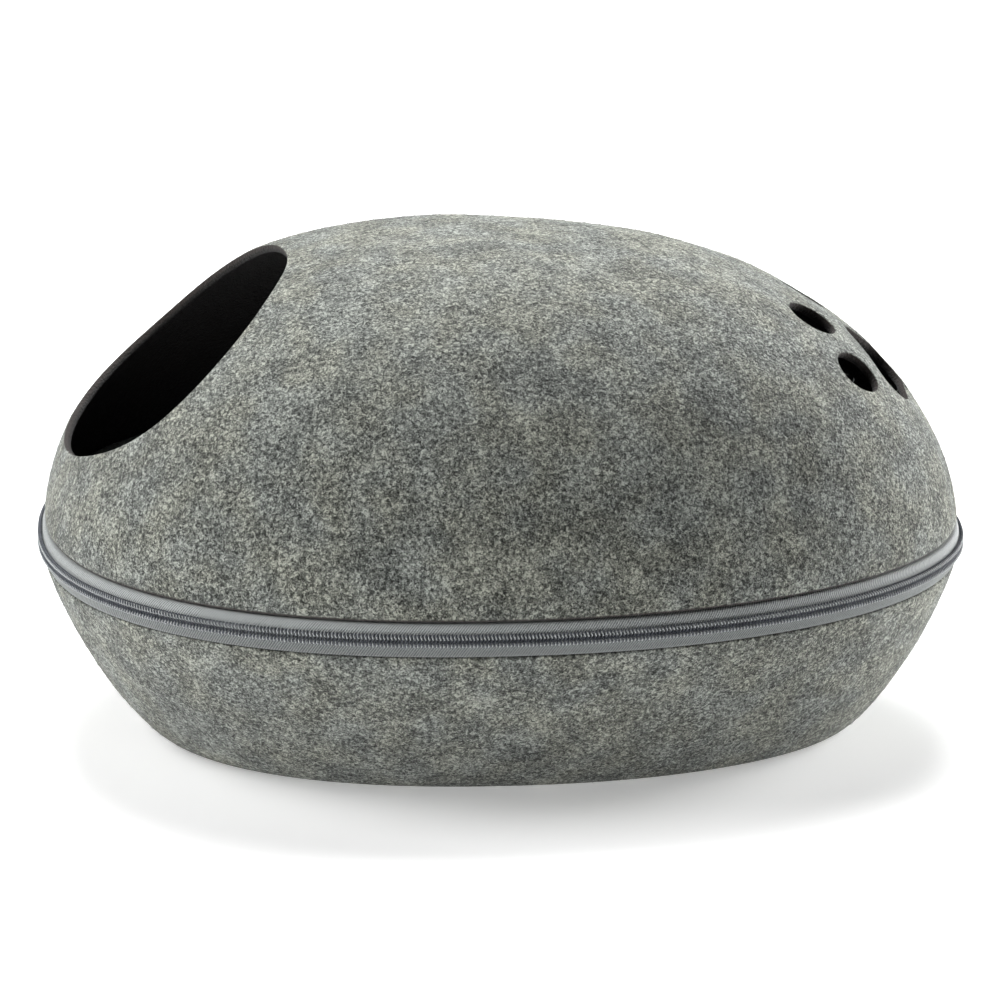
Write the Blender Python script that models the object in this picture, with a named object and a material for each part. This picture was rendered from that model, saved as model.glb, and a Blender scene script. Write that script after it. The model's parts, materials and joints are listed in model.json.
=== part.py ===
"""Felt cat cave: two moulded felt shells, joined all round by a coil zip.

Metres, +Z up. The origin is the middle of the footprint, on the floor. The entrance is at
the -X end, the paw-shaped vent is at the +X end, and both sides of the XZ plane are alike.
"""
import math
from dataclasses import dataclass

import bmesh
import bpy
import numpy as np

# Overall size, over the zip
LENGTH = 0.470
WIDTH = 0.380
HEIGHT = 0.250

# Felt and seam
FELT = 0.0045  # thickness of the moulded felt
GAP = 0.0003  # clearance between touching pieces
DOME_EDGE = 0.1053  # height of the dome's lower edge
BAND = 0.018  # from the dome's edge down to the bowl's edge
PROUD = 0.0035  # how far the coil stands out beyond the felt
HALF_LENGTH = LENGTH / 2 - PROUD
HALF_WIDTH = WIDTH / 2 - PROUD
BOWL_EDGE = DOME_EDGE - BAND

# Egg-shaped plan: a superellipse that is blunter and wider at the entrance
BLUNT_END = 2.25
SLIM_END = 2.12
TAPER = 0.094  # share of the width lost at the slim end and gained at the blunt end

# Dome: superelliptic side view, with its top a little nearer the entrance
DOME_ROUND = 2.68
DOME_CROWN = 1.67
TOP_SHIFT = -0.0124

# Bowl: rounds in to a flat base
BASE_HALF_LENGTH = 0.177
BASE_HALF_WIDTH = 0.121
BASE_SHIFT = 0.0023
BOWL_SIDE = 1.47
BOWL_FLOOR = 1.74

# Zip: tape sewn behind the felt's edge, led out under it to the chain
TAPE = 0.0010  # tape thickness, with its sewing
TAPE_HEM = 0.007  # depth of the tape behind the felt
TAPE_TUCK = 0.0009  # how far under the felt's edge the tape runs
TAPE_DROP = 0.0058  # from the felt's edge to the start of the chain
TAPE_OUT = 0.0007  # middle of the tape beyond the felt, at the chain
DOME_HEM_LEAN = 0.0012  # how far the dome leans in over the depth of the hem
BOWL_HEM_LEAN = 0.0042  # how far the bowl does
COIL_DEEP = 0.0020
COIL_TALL = 0.0028

# Faces
AROUND = 60
DOME_ROWS = 11
DOME_LAST = math.radians(87.5)  # last row of the dome, round its flat middle
BOWL_ROWS = 9
OUTLINE_STEPS = 40
COIL_SIDES = 6
SHARP = math.radians(40)  # edges sharper than this are shaded as edges

# Searches on the dome's surface
TINY = 1e-5  # step for slopes and normals
REACH = 0.12  # how far to each side a line along an axis is searched
HALVINGS = 50

FELT_GREY = (0.19, 0.195, 0.18)
TAPE_GREY = (0.27, 0.28, 0.29)
COIL_GREY = (0.14, 0.15, 0.17)


@dataclass
class Opening:
    """A hole through the dome, placed where its middle lies in plan."""

    name: str
    x: float
    y: float
    length: float  # down the slope
    width: float  # across the slope
    turn: float = 0.0  # degrees, from down the slope towards +Y
    lean: float | None = None  # degrees from level; None follows the dome


ENTRANCE = Opening("entrance", -0.1777, 0.0, 0.147, 0.1932, lean=45)
ENTRANCE_EGG = 0.058  # share by which its lower half is wider
TOES = [
    Opening("toe_inner_front", 0.1540, -0.0247, 0.0295, 0.0244, turn=36.7),
    Opening("toe_inner_back", 0.1540, 0.0247, 0.0295, 0.0244, turn=-36.7),
    Opening("toe_outer_front", 0.1754, -0.0482, 0.0290, 0.0248, turn=46.5),
    Opening("toe_outer_back", 0.1754, 0.0482, 0.0290, 0.0248, turn=-46.5),
]
PAD = Opening("pad", 0.1903, 0.0, 0.0449, 0.0581)
PAD_ROUND = 0.014  # radius of the pad's three rounded corners


def unit(vector):
    """The vector at a length of 1."""
    return vector / np.linalg.norm(vector)


def signed_power(value, power):
    """Raise the size of a value to a power and keep its sign."""
    return math.copysign(abs(value) ** power, value)


def egg(angle):
    """Plan of the cave at a half-length and half-width of 1."""
    along, across = math.cos(angle), math.sin(angle)
    power = 2 / (BLUNT_END if along < 0 else SLIM_END)
    x = signed_power(along, power)
    return x, signed_power(across, power) * (1 - TAPER * x)


def dome_point(angle, climb):
    """Outer face of the dome: climb runs from 0 at its edge to 90 degrees at its top."""
    x, y = egg(angle)
    reach = max(math.cos(climb), 0.0) ** (2 / DOME_ROUND)
    rise = math.sin(climb) ** (2 / DOME_CROWN)
    return np.array((
        HALF_LENGTH * x * reach + TOP_SHIFT * (1 - reach),
        HALF_WIDTH * y * reach,
        DOME_EDGE + (HEIGHT - DOME_EDGE) * rise,
    ))


def bowl_point(angle, fall):
    """Outer face of the bowl: fall runs from 0 at its edge to 90 degrees at its base."""
    x, y = egg(angle)
    reach = max(math.cos(fall), 0.0) ** BOWL_SIDE
    return np.array((
        x * (BASE_HALF_LENGTH + (HALF_LENGTH - BASE_HALF_LENGTH) * reach) + BASE_SHIFT * (1 - reach),
        y * (BASE_HALF_WIDTH + (HALF_WIDTH - BASE_HALF_WIDTH) * reach),
        BOWL_EDGE * (1 - math.sin(fall) ** BOWL_FLOOR),
    ))


def inward(surface, angle, climb, side):
    """Unit vector into the felt, square to a surface; side is 1 for the dome, -1 for the bowl."""
    around = surface(angle + TINY, climb) - surface(angle - TINY, climb)
    low, high = max(climb - TINY, 0.0), min(climb + TINY, math.pi / 2)
    up = surface(angle, high) - surface(angle, low)
    return unit(np.cross(up, around)) * side


def dome_level(point):
    """Below 0 inside the dome's outer face, 0 on it and above 0 outside it."""
    rise = (point[2] - DOME_EDGE) / (HEIGHT - DOME_EDGE)
    if rise >= 1:
        return 1.0
    reach = (1 - max(rise, 0.0) ** DOME_CROWN) ** (1 / DOME_ROUND)
    x = (point[0] - TOP_SHIFT * (1 - reach)) / (HALF_LENGTH * reach)
    y = point[1] / (HALF_WIDTH * reach * max(1 - TAPER * x, TINY))
    power = BLUNT_END if x < 0 else SLIM_END
    return abs(x) ** power + abs(y) ** power - 1


def meet_dome(start, axis, reach=REACH):
    """Where a line along an axis through a point leaves the dome's outer face."""
    inside, outside = -reach, reach
    for _ in range(HALVINGS):
        middle = (inside + outside) / 2
        if dome_level(start + axis * middle) > 0:
            outside = middle
        else:
            inside = middle
    return start + axis * inside


def dome_normal(point):
    """Outward unit vector square to the dome's outer face."""
    rise = [dome_level(point + step) - dome_level(point - step) for step in TINY * np.eye(3)]
    return unit(np.array(rise))


def oval(opening, swell=0.0):
    """Outline of an oval hole; swell widens its lower half."""
    turn = math.radians(opening.turn)
    points = []
    for step in range(OUTLINE_STEPS):
        angle = 2 * math.pi * step / OUTLINE_STEPS
        down = opening.length / 2 * math.cos(angle)
        side = opening.width / 2 * math.sin(angle) * (1 + swell * math.cos(angle))
        points.append((
            down * math.cos(turn) - side * math.sin(turn),
            down * math.sin(turn) + side * math.cos(turn),
        ))
    return points


def pad_outline(opening):
    """Rounded triangle: one corner up the slope and two down it."""
    high = -opening.length / 2 + PAD_ROUND
    low = opening.length / 2 - PAD_ROUND
    wide = opening.width / 2 - PAD_ROUND
    shoulder = math.atan2(wide, low - high)
    corners = [
        # middle of the arc (down, side), first angle, last angle
        (low, wide, 0.0, math.pi / 2 + shoulder),
        (high, 0.0, math.pi / 2 + shoulder, 3 * math.pi / 2 - shoulder),
        (low, -wide, 3 * math.pi / 2 - shoulder, 2 * math.pi),
    ]
    steps = OUTLINE_STEPS // len(corners)
    points = []
    for down, side, first, last in corners:
        for step in range(steps):
            angle = first + (last - first) * step / (steps - 1)
            points.append((down + PAD_ROUND * math.cos(angle), side + PAD_ROUND * math.sin(angle)))
    return points


def material(name, colour, roughness):
    """Plain material for one kind of piece."""
    made = bpy.data.materials.new(name)
    made.use_nodes = True
    shader = made.node_tree.nodes["Principled BSDF"]
    shader.inputs["Base Color"].default_value = (*colour, 1.0)
    shader.inputs["Roughness"].default_value = roughness
    shader.inputs["Metallic"].default_value = 0.0
    return made


def skin(name, rings, finish=None, wrap=False):
    """Body skinned over rings of points; it wraps round, or has a face over each end ring."""
    shape = bmesh.new()
    rows = [[shape.verts.new(point) for point in ring] for ring in rings]
    pairs = list(zip(rows, rows[1:]))
    if wrap:
        pairs.append((rows[-1], rows[0]))
    else:
        shape.faces.new(rows[0])
        shape.faces.new(rows[-1])
    for row, beyond in pairs:
        for here in range(len(row)):
            after = (here + 1) % len(row)
            shape.faces.new((row[here], row[after], beyond[after], beyond[here]))
    bmesh.ops.triangulate(shape, faces=[face for face in shape.faces if len(face.verts) > 4])
    bmesh.ops.recalc_face_normals(shape, faces=shape.faces)
    mesh = bpy.data.meshes.new(name)
    shape.to_mesh(mesh)
    shape.free()
    mesh.shade_smooth()
    mesh.set_sharp_from_angle(angle=SHARP)
    made = bpy.data.objects.new(name, mesh)
    bpy.context.scene.collection.objects.link(made)
    if finish:
        mesh.materials.append(finish)
    return made


def angles_round():
    """Angles of the faces round the cave, the same for every piece."""
    return [2 * math.pi * step / AROUND for step in range(AROUND)]


def shell(name, surface, climbs, side, finish):
    """Felt shell: its outer face from the edge to the middle, and back along the inner face."""
    outer, inner = [], []
    for climb in climbs:
        ring = [surface(angle, climb) for angle in angles_round()]
        depths = [inward(surface, angle, climb, side) * FELT for angle in angles_round()]
        outer.append(ring)
        inner.append([point + depth for point, depth in zip(ring, depths)])
    return skin(name, list(reversed(outer)) + inner, finish)


def opening_cutter(opening, outline):
    """Cutter whose walls stand square to the felt along the outline."""
    start = np.array((opening.x, opening.y, DOME_EDGE))
    middle = meet_dome(start, np.array((0.0, 0.0, 1.0)), HEIGHT)
    if opening.lean is None:
        axis = dome_normal(middle)
    else:
        lean = math.radians(opening.lean)
        axis = np.array((-math.sin(lean), 0.0, math.cos(lean)))
    across = unit(np.array((0.0, 1.0, 0.0)) - axis * axis[1])
    down = np.cross(across, axis)
    down *= -math.copysign(1.0, down[2])
    rim = [meet_dome(middle + down * s + across * t, axis) for s, t in outline]
    normals = [dome_normal(point) for point in rim]
    inside = [point - normal * (2 * FELT) for point, normal in zip(rim, normals)]
    outside = [point + normal * FELT for point, normal in zip(rim, normals)]
    beyond = [point + axis * opening.length / 2 for point in outside]
    cutter = skin(f"cut_{opening.name}", [inside, outside, beyond])
    cutter.hide_render = True
    cutter.display_type = "WIRE"
    return cutter


def cut(body, cutter):
    """Take a cutter out of a body."""
    modifier = body.modifiers.new(cutter.name, "BOOLEAN")
    modifier.operation = "DIFFERENCE"
    modifier.solver = "EXACT"
    modifier.object = cutter


def upper_shell(finish):
    """Dome with the entrance and the paw-shaped vent."""
    climbs = [math.pi / 2 * row / DOME_ROWS for row in range(DOME_ROWS)] + [DOME_LAST]
    dome = shell("upper_shell", dome_point, climbs, 1, finish)
    cut(dome, opening_cutter(ENTRANCE, oval(ENTRANCE, ENTRANCE_EGG)))
    for toe in TOES:
        cut(dome, opening_cutter(toe, oval(toe)))
    cut(dome, opening_cutter(PAD, pad_outline(PAD)))


def lower_shell(finish):
    """Bowl with its flat base."""
    climbs = [math.pi / 2 * row / BOWL_ROWS for row in range(BOWL_ROWS + 1)]
    shell("lower_shell", bowl_point, climbs, -1, finish)


def seam_ring(name, section, finish):
    """Ring round the seam from a closed section of (out from the felt, height) points."""
    rings = []
    for angle in angles_round():
        x, y = egg(angle)
        rings.append([((HALF_LENGTH + out) * x, (HALF_WIDTH + out) * y, z) for out, z in section])
    skin(name, rings, finish, wrap=True)


def strip_section(middle, thickness):
    """Closed section of a strip from the middle line of its thickness, in the same plane."""
    line = np.array(middle)
    sides = []
    for place, point in enumerate(line):
        before = unit(point - line[max(place - 1, 0)] if place else line[1] - point)
        after = unit(line[place + 1] - point) if place < len(line) - 1 else before
        along = unit(before + after)
        mitre = np.array((-along[1], along[0])) / along.dot(after)
        sides.append(mitre * thickness / 2)
    return [*(line + sides), *reversed(line - sides)]


def tape(name, edge, way, wall_in, finish):
    """Zip tape: behind the felt, out under its edge and along to the chain.

    way is -1 for the tape that runs down from the dome's edge and 1 for the one that runs up
    from the bowl's, and wall_in is how far the felt leans in over the depth of the hem.
    """
    behind = -(FELT + GAP + TAPE / 2)
    centre = (DOME_EDGE + BOWL_EDGE) / 2
    middle = [
        (behind - wall_in, edge - way * TAPE_HEM),
        (behind, edge + way * TAPE_TUCK),
        (-TAPE / 2, edge + way * (TAPE_TUCK + GAP)),
        (TAPE_OUT, edge + way * TAPE_DROP),
        (TAPE_OUT, centre - way * GAP / 2),
    ]
    seam_ring(name, strip_section(middle, TAPE), finish)


def coil(name, way, finish):
    """Half of the zip chain, as the plain bead that its turns fill."""
    centre = (DOME_EDGE + BOWL_EDGE) / 2
    out = TAPE_OUT + TAPE / 2 + GAP + COIL_DEEP / 2
    height = centre - way * (COIL_TALL + GAP) / 2
    section = []
    for side in range(COIL_SIDES):
        angle = 2 * math.pi * side / COIL_SIDES
        section.append((out + COIL_DEEP / 2 * math.cos(angle), height + COIL_TALL / 2 * math.sin(angle)))
    seam_ring(name, section, finish)


def main():
    """Clear the scene and build the cave."""
    for item in list(bpy.data.objects):
        bpy.data.objects.remove(item)
    felt = material("moulded_felt", FELT_GREY, 0.95)
    woven = material("woven_tape", TAPE_GREY, 0.8)
    nylon = material("nylon_coil", COIL_GREY, 0.4)
    upper_shell(felt)
    lower_shell(felt)
    tape("upper_tape", DOME_EDGE, -1, DOME_HEM_LEAN, woven)
    tape("lower_tape", BOWL_EDGE, 1, BOWL_HEM_LEAN, woven)
    coil("upper_coil", -1, nylon)
    coil("lower_coil", 1, nylon)


main()
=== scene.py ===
"""Looks of a felt cat cave: two moulded felt shells joined all round by a coil zip.

Metres, +Z up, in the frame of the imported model. The entrance is at the -X end and the
paw-shaped vent at the +X end. Both sides of the XZ plane are alike.
"""
import json
import logging
import math
from collections.abc import Callable, Sequence
from dataclasses import dataclass, field
from enum import Enum
from typing import TypeVar

import bmesh
import bpy
import numpy as np
from mathutils import Matrix, Vector

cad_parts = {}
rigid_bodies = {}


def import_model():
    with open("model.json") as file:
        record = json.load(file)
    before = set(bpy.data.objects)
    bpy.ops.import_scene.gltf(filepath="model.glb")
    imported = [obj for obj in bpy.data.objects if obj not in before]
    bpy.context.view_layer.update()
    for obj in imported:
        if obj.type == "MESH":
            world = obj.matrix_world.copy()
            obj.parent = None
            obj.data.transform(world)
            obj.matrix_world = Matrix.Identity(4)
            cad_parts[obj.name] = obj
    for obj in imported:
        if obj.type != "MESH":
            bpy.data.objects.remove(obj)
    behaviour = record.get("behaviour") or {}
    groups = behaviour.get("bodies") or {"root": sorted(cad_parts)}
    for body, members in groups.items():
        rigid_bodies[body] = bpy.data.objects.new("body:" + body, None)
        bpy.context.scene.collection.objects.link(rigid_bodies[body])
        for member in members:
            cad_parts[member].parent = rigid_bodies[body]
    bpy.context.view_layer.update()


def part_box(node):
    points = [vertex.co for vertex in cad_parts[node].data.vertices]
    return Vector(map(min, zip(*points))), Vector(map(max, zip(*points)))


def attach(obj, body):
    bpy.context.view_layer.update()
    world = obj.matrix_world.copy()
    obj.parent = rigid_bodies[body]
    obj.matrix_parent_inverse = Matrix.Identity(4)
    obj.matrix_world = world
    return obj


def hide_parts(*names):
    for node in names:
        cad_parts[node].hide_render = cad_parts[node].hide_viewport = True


LOG = logging.getLogger("cat_cave")
MM = 0.001
TINY = 1e-5  # step for slopes and normals
NEARLY_ONE = 1 - 1e-9  # keeps a height off the pole, where the form has no width
RIGHT_ANGLE = math.pi / 2
FORM_HEIGHT = 0.250  # of the smooth form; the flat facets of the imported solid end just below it
PLAN_STEPS = 721  # angles at which the plan's greatest width is looked for
HALVINGS = 40  # steps that close in on a face
EDGE_TURNS = (20, 40, 60, 75, 90)  # degrees round a moulded edge, from the face
DIE_TURNS = (0, 25, 50, 72, 88)  # degrees round an edge that the die rounded
SEAM_FADE = 0.05  # height over which the felt's unevenness fades out at the seam
FLOOR_FADE = 0.02  # and at the floor
CORNER_CUT = 0.25  # share of a side that is cut off at each end to round a bend
ROUNDINGS = 2  # how often all corners are cut off
EVEN_ROWS_END = 0.02  # radians short of the middle of a shell
FAN_START = 0.004  # radians short of it, where a fan of triangles closes the shell
INNER_FACE = 1.05  # depth given to the bowl's inner face, in thicknesses of felt
CUTTER_CLEAR = 4  # how far a cutter stands out of both faces, in radii of the die's rounding
CUTTER_FLARE = 2.0  # how far it widens there, in the same radii

Feed = bpy.types.Node | bpy.types.NodeSocket  # what a socket can be linked to
Surface = Callable[[np.ndarray, float], np.ndarray]  # from angles and one climb to points
Value = TypeVar("Value")


class Half(Enum):
    """Which half of the cave a piece belongs to; the value points from the seam into it."""

    UPPER = 1
    LOWER = -1

    @property
    def word(self) -> str:
        """Name of the half, as the nodes spell it."""
        return self.name.lower()

    def pick(self, upper: Value, lower: Value) -> Value:
        """The one of two values that belongs to this half."""
        return upper if self is Half.UPPER else lower


# ---------------------------------------------------------------- helpers for shader trees


def hex_colour(code: str) -> tuple[float, float, float, float]:
    """Linear colour of an sRGB hex value.

    Args:
        code: Six hex digits, with or without a leading #.

    Returns:
        Red, green, blue and an opacity of 1.
    """
    digits = code.lstrip("#")
    values = [int(digits[place:place + 2], 16) / 255 for place in (0, 2, 4)]
    linear = [v / 12.92 if v <= 0.04045 else ((v + 0.055) / 1.055) ** 2.4 for v in values]
    return (*linear, 1.0)


def add_node(
    tree: bpy.types.NodeTree, kind: str, settings: dict | None = None, **inputs: object,
) -> bpy.types.Node:
    """Add a node, set it up and link what feeds it.

    Args:
        tree: Shader or geometry tree.
        kind: Type name of the node.
        settings: Attributes of the node.
        inputs: Socket by name, with _ for a space, or by place as i0, i1 and so on. The value is
            an output socket to link, a node whose first output is linked, or a plain value.

    Returns:
        The new node.
    """
    node = tree.nodes.new(kind)
    for name, value in (settings or {}).items():
        setattr(node, name, value)
    for name, value in inputs.items():
        by_place = name[0] == "i" and name[1:].isdigit()
        socket = node.inputs[int(name[1:]) if by_place else name.replace("_", " ")]
        if isinstance(value, bpy.types.Node):
            value = next(output for output in value.outputs if output.enabled)
        if isinstance(value, bpy.types.NodeSocket):
            tree.links.new(value, socket)
        else:
            socket.default_value = value
    return node


def new_material(name: str) -> tuple[bpy.types.Material, bpy.types.NodeTree, bpy.types.Node]:
    """Empty material with a Principled shader on its output.

    Args:
        name: Name of the finish.

    Returns:
        The material, its tree and its Principled node.
    """
    material = bpy.data.materials.new(name)
    material.use_nodes = True
    tree = material.node_tree
    tree.nodes.clear()
    shader = add_node(tree, "ShaderNodeBsdfPrincipled")
    add_node(tree, "ShaderNodeOutputMaterial", Surface=shader)
    return material, tree, shader


def colour_ramp(
    tree: bpy.types.NodeTree, factor: Feed, stops: Sequence[tuple[float, str]],
) -> bpy.types.Node:
    """Colour ramp over a factor.

    Args:
        tree: Shader tree.
        factor: Output socket or node that feeds the ramp.
        stops: Position and sRGB hex value of each stop.

    Returns:
        The ramp node.
    """
    ramp = add_node(tree, "ShaderNodeValToRGB", Fac=factor)
    elements = ramp.color_ramp.elements
    while len(elements) < len(stops):
        elements.new(0.5)
    for element, (position, code) in zip(elements, stops):
        element.position = position
        element.color = hex_colour(code)
    return ramp


# ---------------------------------------------------------------- finishes


@dataclass(frozen=True)
class HeatheredFelt:
    """Needle felt of grey and near-black polyester fibres, moulded under heat.

    The fibres lie every way, so the face shows short worm-like flecks from near black to pale
    grey, in soft clouds where one shade gathered, with painted shade in the pits between the
    needled tufts. The cut edge is dark brown, the felt's darker core with painted shade on it,
    and the back is near black, a charcoal layer darkened further as painted shade of the inside.
    """

    name: str = "heathered_needle_felt"
    dark: str = "#2c2d2b"
    shade: str = "#545652"
    middle: str = "#72746f"
    light: str = "#a6a8a0"
    # back and cut edge: a darker felt core with painted shade, near black inside the cave
    back: str = "#1d1b1a"
    cut_edge: str = "#35302e"
    warm: str = "#9b9b97"  # tints of two lots of fibre, that change over the face
    cool: str = "#989a9b"
    fleck: float = 1.9 * MM  # length of a fleck of one shade
    cloud: float = 17 * MM  # width of a cloud where one shade gathers
    lot: float = 28 * MM  # width of a patch of one tint
    lint: float = 0.8 * MM  # fibre ends on the face
    pit: float = 1.6 * MM  # pits between the needled tufts, painted near black as their shade
    lint_weight: float = 0.55  # in the sum that sets the shade, where a fleck has 1
    cloud_weight: float = 0.30
    shade_levels: tuple[float, float] = (0.70, 1.14)  # that sum at the darkest and palest shade
    shade_stops: tuple[float, ...] = (0.0, 0.33, 0.58, 1.0)
    pit_levels: tuple[float, float] = (0.34, 0.47)  # noise at the bottom of a pit and at its rim
    pit_shade_gains: tuple[float, float] = (0.34, 1.22)  # painted shade: brightness there
    lot_levels: tuple[float, float] = (0.38, 0.62)  # noise where a tint is cool and where it is warm
    fibre_levels: tuple[float, float] = (0.3, 0.7)  # noise at a dark and a pale fibre of the edge
    face_depth: float = 0.28 * MM  # how far the grey reaches into the cut edge
    edge_depth: float = 2.1 * MM  # how far the edge is brown, before near-black painted shade
    relief: float = 1.3 * MM
    pit_relief: float = 0.9  # depth of a pit, where a fleck's is 1

    def build(self) -> bpy.types.Material:
        """Make the material, which reads the depth attribute of the shells.

        Returns:
            The felt's material.
        """
        material, tree, shader = new_material(self.name)
        place = add_node(tree, "ShaderNodeTexCoord").outputs["Object"]
        flecks = self.grain(tree, place, self.fleck, detail=2.0, distortion=0.9)
        pits = self.grain(tree, place, self.pit, detail=2.5, distortion=1.2)
        level = self.shade_level(tree, place, flecks)
        colour = add_node(
            tree, "ShaderNodeMix", {"data_type": "RGBA"},
            i0=self.deeper(tree, self.face_depth, self.face_depth * 2),
            i6=self.face(tree, place, level, pits),
            i7=self.dark_core_and_shade(tree, place, level).outputs[2],
        )
        tree.links.new(colour.outputs[2], shader.inputs["Base Color"])
        shader.inputs["Roughness"].default_value = 0.95
        shader.inputs["Specular IOR Level"].default_value = 0.15
        shader.inputs["Sheen Weight"].default_value = 0.12
        shader.inputs["Sheen Roughness"].default_value = 0.6
        relief = add_node(
            tree, "ShaderNodeMath", {"operation": "MULTIPLY_ADD"},
            i0=pits, i1=self.pit_relief, i2=flecks,
        )
        bump = add_node(tree, "ShaderNodeBump", Strength=0.8, Distance=self.relief, Height=relief)
        tree.links.new(bump.outputs[0], shader.inputs["Normal"])
        return material

    def shade_level(
        self, tree: bpy.types.NodeTree, place: bpy.types.NodeSocket, flecks: bpy.types.NodeSocket,
    ) -> bpy.types.Node:
        """How pale the fibres are at each point, from 0 to 1.

        Args:
            tree: Shader tree.
            place: Coordinates in metres.
            flecks: Noise of the flecks.

        Returns:
            The node that gives the level.
        """
        lint = self.grain(tree, place, self.lint, detail=1.0, distortion=0.4)
        clouds = self.grain(tree, place, self.cloud, detail=1.5, distortion=0.3)
        fine = add_node(
            tree, "ShaderNodeMath", {"operation": "MULTIPLY_ADD"},
            i0=lint, i1=self.lint_weight, i2=flecks,
        )
        both = add_node(
            tree, "ShaderNodeMath", {"operation": "MULTIPLY_ADD"},
            i0=clouds, i1=self.cloud_weight, i2=fine,
        )
        low, high = self.shade_levels
        return add_node(tree, "ShaderNodeMapRange", i0=both, i1=low, i2=high, i3=0.0, i4=1.0)

    def face(
        self, tree: bpy.types.NodeTree, place: bpy.types.NodeSocket, level: bpy.types.Node,
        pits: bpy.types.NodeSocket,
    ) -> bpy.types.Node:
        """Colour of the outer face: four shades, with painted shade in the pits, faintly tinted.

        Args:
            tree: Shader tree.
            place: Coordinates in metres.
            level: How pale the fibres are.
            pits: Noise of the pits.

        Returns:
            The node that gives the colour.
        """
        shades = zip(self.shade_stops, (self.dark, self.shade, self.middle, self.light))
        fibres = colour_ramp(tree, level, list(shades))
        (bottom, rim), (dark, full) = self.pit_levels, self.pit_shade_gains
        # painted shade: darker in the pits, where the bump is low
        pit_shading = add_node(tree, "ShaderNodeMapRange", i0=pits, i1=bottom, i2=rim, i3=dark, i4=full)
        lots = self.grain(tree, place, self.lot, detail=1.0, distortion=0.0)
        tint = colour_ramp(tree, lots, list(zip(self.lot_levels, (self.cool, self.warm))))
        tinted = add_node(
            tree, "ShaderNodeVectorMath", {"operation": "MULTIPLY"},
            i0=fibres.outputs[0], i1=tint.outputs[0],
        )
        gain = add_node(
            tree, "ShaderNodeMath", {"operation": "MULTIPLY"}, i0=pit_shading, i1=self.tint_gain,
        )
        return add_node(tree, "ShaderNodeVectorMath", {"operation": "SCALE"}, i0=tinted, Scale=gain)

    def dark_core_and_shade(
        self, tree: bpy.types.NodeTree, place: bpy.types.NodeSocket, level: bpy.types.Node,
    ) -> bpy.types.Node:
        """Colour of the cut edge and, deeper in, of the back, with painted shade on both.

        Args:
            tree: Shader tree.
            place: Coordinates in metres.
            level: How pale the fibres are.

        Returns:
            The mix node, with the colour in its third output.
        """
        ends = self.grain(tree, place, self.lint, detail=2.0, distortion=1.5)
        low, high = self.fibre_levels
        fibrous = add_node(tree, "ShaderNodeMapRange", i0=ends, i1=low, i2=high, i3=0.0, i4=1.0)
        # painted shade: brown cut edge, near black deeper in for the shade inside the cave
        return add_node(
            tree, "ShaderNodeMix", {"data_type": "RGBA"},
            i0=self.deeper(tree, self.edge_depth, self.edge_depth * 1.5),
            i6=self.uneven(tree, fibrous, self.cut_edge),
            i7=self.uneven(tree, level, self.back),
        )

    @property
    def tint_gain(self) -> float:
        """Factor that makes up for the light lost in the two tints."""
        tints = [*hex_colour(self.warm)[:3], *hex_colour(self.cool)[:3]]
        return len(tints) / sum(tints)

    @staticmethod
    def deeper(tree: bpy.types.NodeTree, start: float, end: float) -> bpy.types.Node:
        """How far a point lies between two depths below the face, from 0 to 1.

        Args:
            tree: Shader tree.
            start: Depth in metres where this is 0.
            end: Depth where it is 1.

        Returns:
            The node that gives the share.
        """
        depth = add_node(tree, "ShaderNodeAttribute", {"attribute_name": "depth"}).outputs["Fac"]
        return add_node(tree, "ShaderNodeMapRange", i0=depth, i1=start, i2=end, i3=0.0, i4=1.0)

    @staticmethod
    def grain(
        tree: bpy.types.NodeTree, place: bpy.types.NodeSocket, size: float, detail: float,
        distortion: float,
    ) -> bpy.types.NodeSocket:
        """Noise whose features are about a given size.

        Args:
            tree: Shader tree.
            place: Coordinates in metres.
            size: Width of a feature in metres.
            detail: Octaves of finer grain.
            distortion: How far the grain is twisted into worms.

        Returns:
            The noise, from 0 to 1.
        """
        noise = add_node(
            tree, "ShaderNodeTexNoise", Vector=place, Scale=1 / size, Detail=detail,
            Roughness=0.55, Distortion=distortion,
        )
        return noise.outputs["Fac"]

    @staticmethod
    def uneven(tree: bpy.types.NodeTree, level: bpy.types.Node, code: str) -> bpy.types.NodeSocket:
        """A dark shade that the grain of the fibres lightens and darkens a little.

        Args:
            tree: Shader tree.
            level: How pale the fibres are.
            code: The shade, as an sRGB hex value.

        Returns:
            The colour.
        """
        factor = add_node(tree, "ShaderNodeMapRange", i0=level, i1=0.0, i2=1.0, i3=0.6, i4=1.5)
        scaled = add_node(
            tree, "ShaderNodeVectorMath", {"operation": "SCALE"},
            i0=hex_colour(code)[:3], Scale=factor,
        )
        return scaled.outputs[0]


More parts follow.
